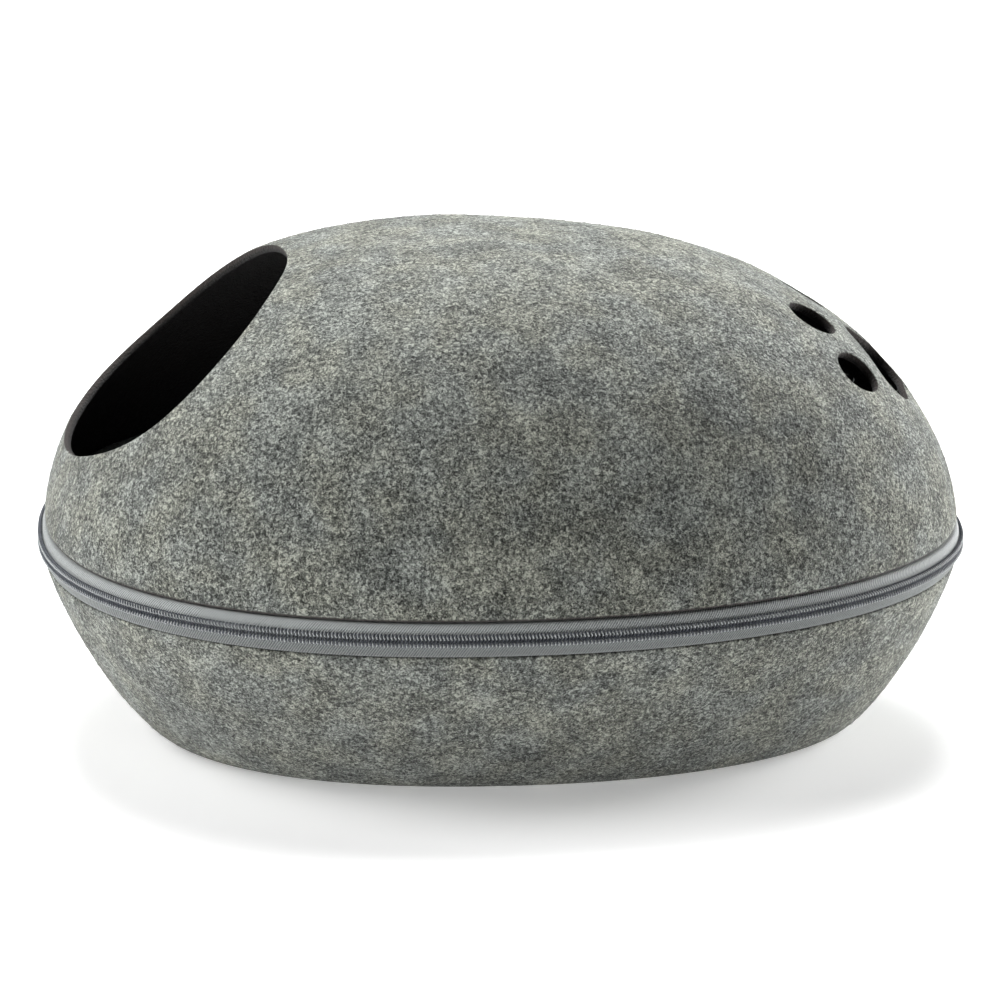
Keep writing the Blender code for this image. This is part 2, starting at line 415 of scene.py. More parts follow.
@dataclass(frozen=True)
class WovenTape:
    """Polyester zip tape, woven and calendered: fine slanted ribs with a soft, dull shine."""

    name: str = "woven_polyester_tape"
    thread: str = "#b0b4b3"
    # between the ribs: painted shade, darker where the bump is low
    between: str = "#56595b"
    rib: float = 1.35 * MM  # spacing of the ribs; the real 0.5 mm is too fine to show
    slant: float = 0.7  # how far a rib runs along the tape for each step across it
    fluff: float = 1.2 * MM  # fibre ends that break up the ribs
    fluff_weight: float = 0.9  # where a rib has 1
    levels: tuple[float, float] = (0.15, 1.45)  # sum of the two between the ribs and on a rib

    def build(self) -> bpy.types.Material:
        """Make the material; its UV map holds metres along and across the tape.

        Returns:
            The tape's material.
        """
        material, tree, shader = new_material(self.name)
        place = add_node(tree, "ShaderNodeUVMap", {"uv_map": "tape"})
        parts = add_node(tree, "ShaderNodeSeparateXYZ", i0=place)
        slid = add_node(
            tree, "ShaderNodeMath", {"operation": "MULTIPLY_ADD"},
            i0=parts.outputs[1], i1=self.slant, i2=parts.outputs[0],
        )
        turns = add_node(
            tree, "ShaderNodeMath", {"operation": "MULTIPLY"}, i0=slid, i1=2 * math.pi / self.rib,
        )
        wave = add_node(tree, "ShaderNodeMath", {"operation": "SINE"}, i0=turns)
        rib = add_node(tree, "ShaderNodeMapRange", i0=wave, i1=-1.0, i2=1.0, i3=0.0, i4=1.0)
        position = add_node(tree, "ShaderNodeTexCoord").outputs["Object"]
        ends = add_node(
            tree, "ShaderNodeTexNoise", Vector=position, Scale=1 / self.fluff,
            Detail=2.0, Roughness=0.6,
        )
        uneven = add_node(
            tree, "ShaderNodeMath", {"operation": "MULTIPLY_ADD"},
            i0=ends.outputs["Fac"], i1=self.fluff_weight, i2=rib,
        )
        low, high = self.levels
        shade = add_node(tree, "ShaderNodeMapRange", i0=uneven, i1=low, i2=high, i3=0.0, i4=1.0)
        # painted shade between the ribs: the ramp follows the same sum as the bump
        colour = colour_ramp(tree, shade, [(0.1, self.between), (0.8, self.thread)])
        tree.links.new(colour.outputs[0], shader.inputs["Base Color"])
        shader.inputs["Roughness"].default_value = 0.72
        shader.inputs["Specular IOR Level"].default_value = 0.3
        shader.inputs["Sheen Weight"].default_value = 0.2
        bump = add_node(tree, "ShaderNodeBump", Strength=0.8, Distance=0.3 * MM, Height=uneven)
        tree.links.new(bump.outputs[0], shader.inputs["Normal"])
        return material


@dataclass(frozen=True)
class NylonCoil:
    """Dyed nylon monofilament, drawn and wound: dark, smooth and a little glossy."""

    name: str = "drawn_nylon_monofilament"
    colour: str = "#3a3e46"
    worn: str = "#565a62"
    drift: float = 6 * MM  # length over which the wire's shade changes
    drawn: float = 0.4 * MM  # fine marks of the die that the wire was drawn through

    def build(self) -> bpy.types.Material:
        """Make the material, with a slight change of shade along the wire.

        Returns:
            The wire's material.
        """
        material, tree, shader = new_material(self.name)
        place = add_node(tree, "ShaderNodeTexCoord").outputs["Object"]
        drift = add_node(tree, "ShaderNodeTexNoise", Vector=place, Scale=1 / self.drift, Detail=2.0)
        colour = colour_ramp(tree, drift.outputs["Fac"], [(0.35, self.colour), (0.75, self.worn)])
        tree.links.new(colour.outputs[0], shader.inputs["Base Color"])
        shader.inputs["Roughness"].default_value = 0.34
        shader.inputs["IOR"].default_value = 1.53
        fine = add_node(tree, "ShaderNodeTexNoise", Vector=place, Scale=1 / self.drawn, Detail=1.0)
        marks = fine.outputs["Fac"]
        bump = add_node(tree, "ShaderNodeBump", Strength=0.15, Distance=0.05 * MM, Height=marks)
        tree.links.new(bump.outputs[0], shader.inputs["Normal"])
        return material


@dataclass(frozen=True)
class SewingThread:
    """Twisted polyester thread that sews the coil to its tape: pale grey, with a low shine."""

    name: str = "twisted_polyester_thread"
    colour: str = "#c2c6c6"
    # painted shade in the grooves of the twist, where the bump is low
    twist_shade: str = "#8b8f92"
    twist: float = 0.5 * MM

    def build(self) -> bpy.types.Material:
        """Make the material, with the thread's twist in its bump and painted shade in its grooves.

        Returns:
            The thread's material.
        """
        material, tree, shader = new_material(self.name)
        place = add_node(tree, "ShaderNodeTexCoord").outputs["Object"]
        noise = add_node(tree, "ShaderNodeTexNoise", Vector=place, Scale=1 / self.twist, Detail=1.0)
        twist = noise.outputs["Fac"]
        colour = colour_ramp(tree, twist, [(0.3, self.twist_shade), (0.6, self.colour)])
        tree.links.new(colour.outputs[0], shader.inputs["Base Color"])
        shader.inputs["Roughness"].default_value = 0.6
        shader.inputs["Sheen Weight"].default_value = 0.3
        bump = add_node(tree, "ShaderNodeBump", Strength=0.4, Distance=0.1 * MM, Height=twist)
        tree.links.new(bump.outputs[0], shader.inputs["Normal"])
        return material


@dataclass(frozen=True)
class LooseFibre:
    """Single crimped polyester fibres that stand off the felt's face, in its three shades."""

    name: str = "crimped_polyester_fibre"
    shades: tuple[str, str, str] = ("#545856", "#8f9391", "#c3c7c2")
    stops: tuple[float, float, float] = (0.36, 0.5, 0.64)
    tuft: float = 3 * MM  # width over which fibres are of one shade

    def build(self) -> bpy.types.Material:
        """Make the material; tufts differ in shade.

        Returns:
            The fibres' material.
        """
        material, tree, shader = new_material(self.name)
        place = add_node(tree, "ShaderNodeTexCoord").outputs["Object"]
        pick = add_node(tree, "ShaderNodeTexNoise", Vector=place, Scale=1 / self.tuft, Detail=0.0)
        colour = colour_ramp(tree, pick.outputs["Fac"], list(zip(self.stops, self.shades)))
        tree.links.new(colour.outputs[0], shader.inputs["Base Color"])
        shader.inputs["Roughness"].default_value = 0.7
        shader.inputs["Specular IOR Level"].default_value = 0.2
        return material


@dataclass(frozen=True)
class StudioFloor:
    """White acrylic of a light table, lit a little from below."""

    name: str = "white_light_table"
    colour: str = "#f4f4f4"
    shade: str = "#f2f2f2"
    glow: float = 0.34  # light that the table gives off, where white is 1
    mottle: float = 9 * MM

    def build(self) -> bpy.types.Material:
        """Make the material, plain but for a faint grain.

        Returns:
            The table's material.
        """
        material, tree, shader = new_material(self.name)
        place = add_node(tree, "ShaderNodeTexCoord").outputs["Object"]
        grain = add_node(tree, "ShaderNodeTexNoise", Vector=place, Scale=1 / self.mottle, Detail=2.0)
        colour = colour_ramp(tree, grain.outputs["Fac"], [(0.3, self.shade), (0.7, self.colour)])
        tree.links.new(colour.outputs[0], shader.inputs["Base Color"])
        shader.inputs["Roughness"].default_value = 0.9
        shader.inputs["Emission Color"].default_value = hex_colour(self.colour)
        shader.inputs["Emission Strength"].default_value = self.glow
        return material


# ---------------------------------------------------------------- form of the cave


@dataclass
class CaveForm:
    """Outer faces of the two shells, as functions of an angle round the cave."""

    half_length: float
    half_width: float
    height: float
    dome_edge: float
    bowl_edge: float
    blunt_end: float = 2.25
    slim_end: float = 2.12
    taper: float = 0.094
    dome_round: float = 2.68
    dome_crown: float = 1.67
    top_shift: float = -0.0124
    base_half_length: float = 0.177
    base_half_width: float = 0.121
    base_shift: float = 0.0023
    bowl_side: float = 1.47
    bowl_floor: float = 1.74

    @classmethod
    def from_frame(cls) -> "CaveForm":
        """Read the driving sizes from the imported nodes.

        Returns:
            The form, as large as the nodes.
        """
        dome_low, dome_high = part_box("upper_shell")
        _, bowl_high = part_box("lower_shell")
        form = cls(
            half_length=(dome_high[0] - dome_low[0]) / 2,
            half_width=1.0,
            height=FORM_HEIGHT,
            dome_edge=dome_low[2],
            bowl_edge=round(bowl_high[2], 4),
        )
        angles = np.linspace(0, 2 * math.pi, PLAN_STEPS)
        form.half_width = (dome_high[1] - dome_low[1]) / 2 / form.egg(angles)[1].max()
        return form

    def egg(self, angle: np.ndarray) -> tuple[np.ndarray, np.ndarray]:
        """Plan of the cave at a half-length and half-width of 1.

        Args:
            angle: Angles round the cave, from +X.

        Returns:
            The x and the y of each point.
        """
        along, across = np.cos(angle), np.sin(angle)
        power = 2 / np.where(along < 0, self.blunt_end, self.slim_end)
        x = np.sign(along) * np.abs(along) ** power
        return x, np.sign(across) * np.abs(across) ** power * (1 - self.taper * x)

    def dome(self, angle: np.ndarray, climb: float) -> np.ndarray:
        """Points of the dome's outer face.

        Args:
            angle: Angles round the cave.
            climb: From 0 at the dome's edge to a right angle at its top.

        Returns:
            One point for each angle.
        """
        x, y = self.egg(angle)
        reach = np.maximum(np.cos(climb), 0) ** (2 / self.dome_round)
        rise = np.sin(climb) ** (2 / self.dome_crown)
        return np.stack(np.broadcast_arrays(
            self.half_length * x * reach + self.top_shift * (1 - reach),
            self.half_width * y * reach,
            self.dome_edge + (self.height - self.dome_edge) * rise,
        ), axis=-1)

    def bowl(self, angle: np.ndarray, fall: float) -> np.ndarray:
        """Points of the bowl's outer face.

        Args:
            angle: Angles round the cave.
            fall: From 0 at the bowl's edge to a right angle at the middle of its base.

        Returns:
            One point for each angle.
        """
        x, y = self.egg(angle)
        reach = np.maximum(np.cos(fall), 0) ** self.bowl_side
        return np.stack(np.broadcast_arrays(
            x * (self.base_half_length + (self.half_length - self.base_half_length) * reach)
            + self.base_shift * (1 - reach),
            y * (self.base_half_width + (self.half_width - self.base_half_width) * reach),
            self.bowl_edge * (1 - np.sin(fall) ** self.bowl_floor),
        ), axis=-1)

    def dome_level(self, points: np.ndarray) -> np.ndarray:
        """On which side of the dome's outer face points lie.

        Args:
            points: Rows of x, y and z.

        Returns:
            Below 0 inside the face, 0 on it and above 0 outside it, for each point.
        """
        rise = (points[..., 2] - self.dome_edge) / (self.height - self.dome_edge)
        rise = np.clip(rise, 0, NEARLY_ONE)
        reach = (1 - rise ** self.dome_crown) ** (1 / self.dome_round)
        x = (points[..., 0] - self.top_shift * (1 - reach)) / (self.half_length * reach)
        y = points[..., 1] / (self.half_width * reach * np.maximum(1 - self.taper * x, TINY))
        power = np.where(x < 0, self.blunt_end, self.slim_end)
        return np.abs(x) ** power + np.abs(y) ** power - 1

    def dome_slope(self, points: np.ndarray) -> np.ndarray:
        """Gradient of the dome's level.

        Args:
            points: Rows of x, y and z.

        Returns:
            One vector for each point.
        """
        steps = TINY * np.eye(3)
        rises = [self.dome_level(points + step) - self.dome_level(points - step) for step in steps]
        return np.stack(rises, axis=-1) / (2 * TINY)

    def meet_dome(self, starts: np.ndarray, axis: np.ndarray, reach: float = 0.12) -> np.ndarray:
        """Where lines along an axis leave the dome's outer face.

        Args:
            starts: A point on each line.
            axis: Unit vector that points out of the cave.
            reach: How far to look either way.

        Returns:
            A point of the outer face for each line.
        """
        inside = np.full(len(starts), -reach)
        outside = np.full(len(starts), reach)
        for _ in range(HALVINGS):
            middle = (inside + outside) / 2
            points = starts + middle[:, None] * axis
            out = (self.dome_level(points) > 0) | (points[:, 2] > self.height)
            outside = np.where(out, middle, outside)
            inside = np.where(out, inside, middle)
        return starts + inside[:, None] * axis

    def inward(
        self, surface: Surface, angle: np.ndarray, climb: float, half: Half,
    ) -> np.ndarray:
        """Unit vectors into the felt along one ring of a shell.

        Args:
            surface: The form's dome or bowl method.
            angle: Angles round the cave.
            climb: Second argument of the surface, the same all round.
            half: Which shell the ring belongs to.

        Returns:
            One vector for each angle.
        """
        around = surface(angle + TINY, climb) - surface(angle - TINY, climb)
        low, high = max(climb - TINY, 0.0), min(climb + TINY, RIGHT_ANGLE)
        up = surface(angle, high) - surface(angle, low)
        normal = np.cross(up, around) * half.value
        return normal / np.linalg.norm(normal, axis=1)[:, None]


@dataclass(frozen=True)
class Opening:
    """A hole through the dome, placed where its middle lies in plan."""

    name: str
    x: float
    y: float
    length: float  # down the slope
    width: float  # across the slope
    turn: float = 0.0  # degrees, from down the slope towards +Y
    lean: float | None = None  # degrees from level; None follows the dome
    swell: float = 0.0  # share by which the lower half is wider
    corner: float | None = None  # radius of a rounded triangle's corners; None is an oval

    def outline(self, steps: int) -> np.ndarray:
        """Outline in the hole's own plane, as (down, side) rows.

        Args:
            steps: Number of points.

        Returns:
            One row for each point.
        """
        if self.corner is not None:
            return self.rounded_triangle(steps)
        angle = np.linspace(0, 2 * math.pi, steps, endpoint=False)
        down = self.length / 2 * np.cos(angle)
        side = self.width / 2 * np.sin(angle) * (1 + self.swell * np.cos(angle))
        turn = math.radians(self.turn)
        return np.stack([
            down * math.cos(turn) - side * math.sin(turn),
            down * math.sin(turn) + side * math.cos(turn),
        ], axis=1)

    def rounded_triangle(self, steps: int) -> np.ndarray:
        """Rounded triangle with one corner up the slope and two down it.

        Args:
            steps: Number of points.

        Returns:
            One (down, side) row for each point.
        """
        high, low = -self.length / 2 + self.corner, self.length / 2 - self.corner
        wide = self.width / 2 - self.corner
        shoulder = math.atan2(wide, low - high)
        arcs = [
            # middle of the arc (down, side), first angle, last angle
            (low, wide, 0.0, RIGHT_ANGLE + shoulder),
            (high, 0.0, RIGHT_ANGLE + shoulder, 3 * RIGHT_ANGLE - shoulder),
            (low, -wide, 3 * RIGHT_ANGLE - shoulder, 4 * RIGHT_ANGLE),
        ]
        rows = []
        for down, side, first, last in arcs:
            angle = np.linspace(first, last, steps // len(arcs))
            circle = np.stack([np.cos(angle), np.sin(angle)], axis=1)
            rows.append(np.array((down, side)) + self.corner * circle)
        return np.concatenate(rows)


# ---------------------------------------------------------------- helpers for meshes


def grid_mesh(
    name: str, rings: Sequence[np.ndarray], wrap: bool = False, caps: bool = False,
) -> bpy.types.Object:
    """Mesh skinned over rings with the same number of points.

    Args:
        name: Name of the object.
        rings: The rings, each an array of points.
        wrap: Join the last ring to the first.
        caps: Close each end ring with a fan of triangles.

    Returns:
        A linked object at the origin.
    """
    count = len(rings[0])
    points = np.concatenate(rings)
    here = np.arange(count)
    after = (here + 1) % count
    starts = np.arange(len(rings) if wrap else len(rings) - 1) * count
    faces = []
    for start in starts:
        beyond = (start + count) % len(points)
        corners = [start + here, start + after, beyond + after, beyond + here]
        faces.extend(np.stack(corners, axis=1).tolist())
    if caps:
        for ring, start in ((rings[0], 0), (rings[-1], len(points) - count)):
            middle = len(points)
            points = np.concatenate([points, ring.mean(axis=0)[None]])
            fan = [(start + b, start + a, middle) for a, b in zip(here, after)]
            faces.extend(fan if start == 0 else [(a, b, c) for b, a, c in fan])
    mesh = bpy.data.meshes.new(name)
    mesh.from_pydata(points.tolist(), [], faces)
    mesh.update()
    made = bpy.data.objects.new(name, mesh)
    bpy.context.scene.collection.objects.link(made)
    face_outwards(made)
    return made


def face_outwards(item: bpy.types.Object) -> None:
    """Merge doubles, then turn every face outwards.

    Args:
        item: Object with a closed mesh.
    """
    shape = bmesh.new()
    shape.from_mesh(item.data)
    bmesh.ops.remove_doubles(shape, verts=shape.verts, dist=TINY)
    bmesh.ops.recalc_face_normals(shape, faces=shape.faces)
    shape.to_mesh(item.data)
    shape.free()


def apply_modifiers(item: bpy.types.Object) -> None:
    """Turn an object's modifiers into a plain mesh and remove them.

    Args:
        item: Object with its modifiers.
    """
    graph = bpy.context.evaluated_depsgraph_get()
    mesh = bpy.data.meshes.new_from_object(
        item.evaluated_get(graph), preserve_all_data_layers=True, depsgraph=graph,
    )
    item.modifiers.clear()
    item.data = mesh
    mesh.name = item.name


def is_closed(item: bpy.types.Object) -> bool:
    """Whether every edge of a mesh joins two faces.

    Args:
        item: Object with the mesh.

    Returns:
        True where no edge is open.
    """
    shape = bmesh.new()
    shape.from_mesh(item.data)
    open_edges = sum(1 for edge in shape.edges if len(edge.link_faces) != 2)
    shape.free()
    return open_edges == 0


def dress(item: bpy.types.Object, material: bpy.types.Material, sharp: float) -> None:
    """Give an object one material and smooth shading but for its sharp edges.

    Args:
        item: Object to dress.
        material: Its material.
        sharp: Angle in degrees from which an edge stays sharp.
    """
    item.data.materials.clear()
    item.data.materials.append(material)
    item.data.shade_smooth()
    item.data.set_sharp_from_angle(angle=math.radians(sharp))


def report(item: bpy.types.Object) -> None:
    """Log a finished piece and its number of triangles."""
    item.data.calc_loop_triangles()
    LOG.info("%s: %d triangles", item.name, len(item.data.loop_triangles))


# ---------------------------------------------------------------- felt shells


@dataclass
class FeltShell:
    """One moulded felt shell, with its cut edges and openings."""

    form: CaveForm
    half: Half
    felt: float = 4.5 * MM
    edge_round: float = 0.9 * MM  # radius that the die leaves on a cut edge
    around: int = 288
    rows: int = 60
    upper_first_row: float = 0.045  # climb of the dome's first ring, above its rounded edge
    lower_first_row: float = 0.075  # and of the bowl's
    unevenness: float = 0.45 * MM
    openings: tuple[Opening, ...] = ()
    outline_steps: int = 120
    attempts: int = 6
    added_steps: int = 3  # points that each new attempt adds to an outline
    flat: tuple[float, float] = (0.59, 0.50)  # oval blank before it was pressed
    rests_on: tuple[str, ...] = ()
    fibres: float = 42000  # loose fibres for each square metre
    fibre_length: float = 2.6 * MM
    fibre_thickness: float = 0.10 * MM  # a real one is 0.03 mm, too fine to show
    fibre_lift: float = 0.16  # height of a fibre's bow, as a share of its length
    fibre_unevenness: float = 0.5  # how far a fibre's size may lie from 1
    fibre_root: float = 0.1 * MM  # greatest depth below the face where fibres stand
    upper_seed: int = 21
    lower_seed: int = 22

    def build(self, finish: bpy.types.Material, fibre: bpy.types.Material) -> list[bpy.types.Object]:
        """Make, cut and dress the shell, and scatter its loose fibres.

        Args:
            finish: The felt's material.
            fibre: Material of the loose fibres.

        Returns:
            The shell and its fuzz.
        """
        shell = grid_mesh(f"{self.half.word}_felt_shell", self.rings(), caps=True)
        blank = self.blank_area()
        if self.openings:
            self.cut_openings(shell)
        self.mark_depth(shell)
        fuzz = self.fuzz(shell, fibre)
        dress(shell, finish, sharp=60)
        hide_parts(f"{self.half.word}_shell")
        for piece in (shell, fuzz):
            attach(piece, "root")
            report(piece)
        LOG.info("%s: %.3f square metres before its openings are cut", shell.name, blank)
        return [shell, fuzz]

    @property
    def flat_area(self) -> float:
        """Area of the oval blank that the shell is pressed from."""
        return math.pi / 4 * self.flat[0] * self.flat[1]

    def blank_area(self) -> float:
        """Area of the outer face, with its openings still closed.

        Returns:
            Square metres.
        """
        angles, total = self.angles(), 0.0
        climbs = np.linspace(0, RIGHT_ANGLE - FAN_START, self.rows)
        rings = [self.surface(angles, climb) for climb in climbs]
        for low, high in zip(rings, rings[1:]):
            along = np.roll(low, -1, axis=0) - low
            total += float(np.linalg.norm(np.cross(along, high - low), axis=1).sum())
        return total

    def fuzz(self, shell: bpy.types.Object, finish: bpy.types.Material) -> bpy.types.Object:
        """Loose fibres on the shell's outer face, as a piece of their own.

        Args:
            shell: The shell, with its depth attribute.
            finish: The fibres' material.

        Returns:
            The fibres, as a plain mesh.
        """
        fuzz = bpy.data.objects.new(f"{self.half.word}_felt_fuzz", shell.data.copy())
        bpy.context.scene.collection.objects.link(fuzz)
        fuzz_tree().put_on(
            fuzz,
            Density=self.fibres,
            Face_Depth=self.fibre_root,
            Lowest=self.fibre_length,
            Length=self.fibre_length,
            Lift=self.fibre_lift,
            Fibre_Radius=self.fibre_thickness / 2,
            Unevenness=self.fibre_unevenness,
            Seed=self.half.pick(self.upper_seed, self.lower_seed),
            Material=finish,
        )
        fuzz.data.shade_smooth()
        return fuzz

    @property
    def surface(self) -> Surface:
        """The form's own method for this half."""
        return self.half.pick(self.form.dome, self.form.bowl)

    def angles(self) -> np.ndarray:
        """Angles of the columns of faces."""
        return np.linspace(0, 2 * math.pi, self.around, endpoint=False)

    def climbs(self) -> np.ndarray:
        """Climb of each ring, from just above the rounded cut edge to the middle.

        Returns:
            The climbs, in radians.
        """
        first = self.half.pick(self.upper_first_row, self.lower_first_row)
        even = np.linspace(first, RIGHT_ANGLE - EVEN_ROWS_END, self.rows)
        return np.append(even, RIGHT_ANGLE - FAN_START)

    def wave(self, points: np.ndarray) -> np.ndarray:
        """Soft unevenness of the moulded felt, faded out towards the seam and the floor.

        Args:
            points: Points of the smooth form.

        Returns:
            How far the felt stands out at each point.
        """
        x, y, z = points.T
        height = np.clip(np.abs(z - self.form.dome_edge) / SEAM_FADE, 0, 1)
        floor = np.clip(z / FLOOR_FADE, 0, 1)
        # three crossed patterns of waves 65 to 370 mm long, whose numbers share no factor
        swell = (
            np.sin(41 * x + 17 * y + 1.3) * np.sin(37 * z + 23 * x)
            + 0.7 * np.sin(67 * y - 29 * x + 2.1) * np.cos(53 * z + 0.4)
            + 0.5 * np.sin(97 * x - 61 * z) * np.sin(83 * y + 0.9)
        )
        return self.unevenness * swell * height * floor

    def rings(self) -> list[np.ndarray]:
        """Rings from the middle of the outer face, round the cut edge, to the middle inside.

        Returns:
            The rings, each with one point for each column.
        """
        angles = self.angles()
        outer, inner = [], []
        for climb in self.climbs():
            ring = self.surface(angles, climb)
            into = self.form.inward(self.surface, angles, climb, self.half)
            ring = ring - into * self.wave(ring)[:, None]
            outer.append(ring)
            inner.append(ring + into * self.felt)
        first = self.climbs()[0]
        into = self.form.inward(self.surface, angles, first, self.half)
        flat = into * (1, 1, 0)
        flat /= np.linalg.norm(flat, axis=1)[:, None]
        height = self.half.pick(self.form.dome_edge, self.form.bowl_edge)
        turns = np.radians(EDGE_TURNS)
        edge = [self.edge_ring(outer[0], flat, height, turn) for turn in turns]
        far_edge = [self.edge_ring(inner[0], -flat, height, turn) for turn in reversed(turns)]
        return [*reversed(outer), *edge, *far_edge, *inner]

    def edge_ring(
        self, ring: np.ndarray, into: np.ndarray, height: float, turn: float,
    ) -> np.ndarray:
        """One ring of the rounded cut edge.

        Args:
            ring: Last ring of the shell's face.
            into: Level unit vectors into the felt.
            height: Height of the cut edge.
            turn: Radians round from the face, up to a right angle on the edge itself.

        Returns:
            The ring.
        """
        moved = ring + into * self.edge_round * (1 - math.cos(turn))
        drop = (height - ring[:, 2]) * math.sin(turn)
        moved[:, 2] = ring[:, 2] + drop
        return moved

    def cut_openings(self, shell: bpy.types.Object) -> None:
        """Cut all the openings at once; a cut that leaves a gap is made again, more finely.

        Args:
            shell: The whole shell.
        """
        whole = shell.data
        for attempt in range(self.attempts):
            shell.data = whole
            steps = self.outline_steps + self.added_steps * attempt
            cutters = bpy.data.collections.new("felt_cutters")
            for opening in self.openings:
                cutters.objects.link(self.cutter(opening, steps))
            modifier = shell.modifiers.new("openings", "BOOLEAN")
            modifier.operation = "DIFFERENCE"
            modifier.solver = "EXACT"
            modifier.operand_type = "COLLECTION"
            modifier.collection = cutters
            apply_modifiers(shell)
            for cutter in list(cutters.objects):
                bpy.data.objects.remove(cutter)
            bpy.data.collections.remove(cutters)
            if is_closed(shell):
                break
        LOG.info("openings cut at attempt %d, closed: %s", attempt + 1, is_closed(shell))

    def cutter(self, opening: Opening, steps: int) -> bpy.types.Object:
        """Cutter whose walls stand square to the felt, flared where the die rounds the edge.

        Args:
            opening: The hole.
            steps: Points round its outline.

        Returns:
            A closed body.
        """
        up = np.array((0.0, 0.0, 1.0))
        start = np.array((opening.x, opening.y, self.form.dome_edge))
        middle = self.form.meet_dome(start[None], up, self.form.height)[0]
        if opening.lean is None:
            axis = self.form.dome_slope(middle)
            axis /= np.linalg.norm(axis)
        else:
            lean = math.radians(opening.lean)
            axis = np.array((-math.sin(lean), 0.0, math.cos(lean)))
        across = np.array((0.0, 1.0, 0.0)) - axis * axis[1]
        across /= np.linalg.norm(across)
        down = np.cross(across, axis)
        down *= -math.copysign(1.0, down[2])
        outline = opening.outline(steps)
        flat = middle + outline[:, :1] * down + outline[:, 1:] * across
        rim = self.form.meet_dome(flat, axis)
        normals = self.form.dome_slope(rim)
        normals /= np.linalg.norm(normals, axis=1)[:, None]
        rim += normals * self.wave(rim)[:, None]
        tangent = np.roll(rim, -1, axis=0) - np.roll(rim, 1, axis=0)
        wide = np.cross(tangent, normals)
        wide /= np.linalg.norm(wide, axis=1)[:, None]
        if np.sum(wide * (rim - rim.mean(axis=0))) < 0:
            wide = -wide
        rings = []
        for depth, flare in self.cutter_profile():
            rings.append(rim - normals * depth + wide * flare)
        rings.append(rings[-1] + axis * opening.length / 2)
        return grid_mesh(f"cut_{opening.name}", rings, caps=True)

    def cutter_profile(self) -> list[tuple[float, float]]:
        """Rings of a cutter, from inside the cave to outside it.

        Returns:
            Depth below the outer face and widening of each ring.
        """
        radius = self.edge_round
        turns = np.radians(DIE_TURNS)
        inner = [
            (self.felt - radius + radius * math.sin(turn), radius * (1 - math.cos(turn)))
            for turn in reversed(turns)
        ]
        outer = [(radius - radius * math.sin(turn), radius * (1 - math.cos(turn))) for turn in turns]
        clear, flare = CUTTER_CLEAR * radius, CUTTER_FLARE * radius
        return [(self.felt + clear, flare), *inner, *outer, (-clear, flare)]

    def mark_depth(self, shell: bpy.types.Object) -> None:
        """Store how deep each point lies below the shell's outer face, for the material.

        Args:
            shell: The shell, with its openings cut.
        """
        mesh = shell.data
        points = np.empty(len(mesh.vertices) * 3)
        mesh.vertices.foreach_get("co", points)
        depth = self.half.pick(self.dome_depth, self.bowl_depth)(points.reshape(-1, 3))
        layer = mesh.attributes.new("depth", "FLOAT", "POINT")
        layer.data.foreach_set("value", np.clip(depth, 0, 2 * self.felt))

    def dome_depth(self, points: np.ndarray) -> np.ndarray:
        """Depth below the dome's outer face, to first order."""
        slope = np.linalg.norm(self.form.dome_slope(points), axis=1)
        return self.wave(points) - self.form.dome_level(points) / np.maximum(slope, TINY)

    def bowl_depth(self, points: np.ndarray) -> np.ndarray:
        """Depth below the bowl's outer face, by the ring that a point was made in.

        Args:
            points: The bowl's points, in the order of its rings.

        Returns:
            One depth for each point.
        """
        ring = np.arange(len(points)) // self.around
        outer_rings = len(self.climbs())
        edge_rings = 2 * len(EDGE_TURNS)
        share = np.clip((ring - outer_rings - edge_rings / 2) / edge_rings * 2, 0, 1)
        underside = points[:, 2] < self.felt / 2
        return np.where(underside, 0, share * self.felt * INNER_FACE)


# ---------------------------------------------------------------- zip


@dataclass
class SeamPath:
    """Line round the seam, at a distance out from the felt's lower edge."""

    form: CaveForm
    around: int = 480
    fineness: int = 20  # short steps that are measured for each point of the line

    @property
    def middle(self) -> float:
        """Height of the line where the two coils meet."""
        return (self.form.dome_edge + self.form.bowl_edge) / 2

    def ring(self, out: float, height: float) -> np.ndarray:
        """Points round the cave, closed but without the first point repeated.

        Args:
            out: Distance beyond the felt's edge.
            height: Height above the floor.

        Returns:
            The points, at even distances.
        """
        x, y = self.form.egg(self.even_angles())
        return np.stack([
            (self.form.half_length + out) * x,
            (self.form.half_width + out) * y,
            np.full(self.around, height),
        ], axis=1)

    def even_angles(self) -> np.ndarray:
        """Angles that part the line into equal lengths.

        Returns:
            One angle for each point of the line.
        """
        fine = np.linspace(0, 2 * math.pi, self.fineness * self.around + 1)
        x, y = self.form.egg(fine)
        steps = np.hypot(np.diff(self.form.half_length * x), np.diff(self.form.half_width * y))
        travelled = np.concatenate([[0.0], np.cumsum(steps)])
        targets = np.linspace(0, travelled[-1], self.around, endpoint=False)
        return np.interp(targets, travelled, fine)

    def length(self, out: float) -> float:
        """Length of the line once round."""
        ring = self.ring(out, 0.0)
        return float(np.linalg.norm(np.roll(ring, -1, axis=0) - ring, axis=1).sum())

    def wire(self, name: str, out: float, height: float) -> bpy.types.Object:
        """The line as a closed run of mesh edges, for a node tree to follow.

        Args:
            name: Name of the object.
            out: Distance beyond the felt's edge.
            height: Height above the floor.

        Returns:
            A linked object at the origin.
        """
        points = self.ring(out, height)
        edges = [(place, (place + 1) % self.around) for place in range(self.around)]
        mesh = bpy.data.meshes.new(name)
        mesh.from_pydata(points.tolist(), edges, [])
        made = bpy.data.objects.new(name, mesh)
        bpy.context.scene.collection.objects.link(made)
        return made


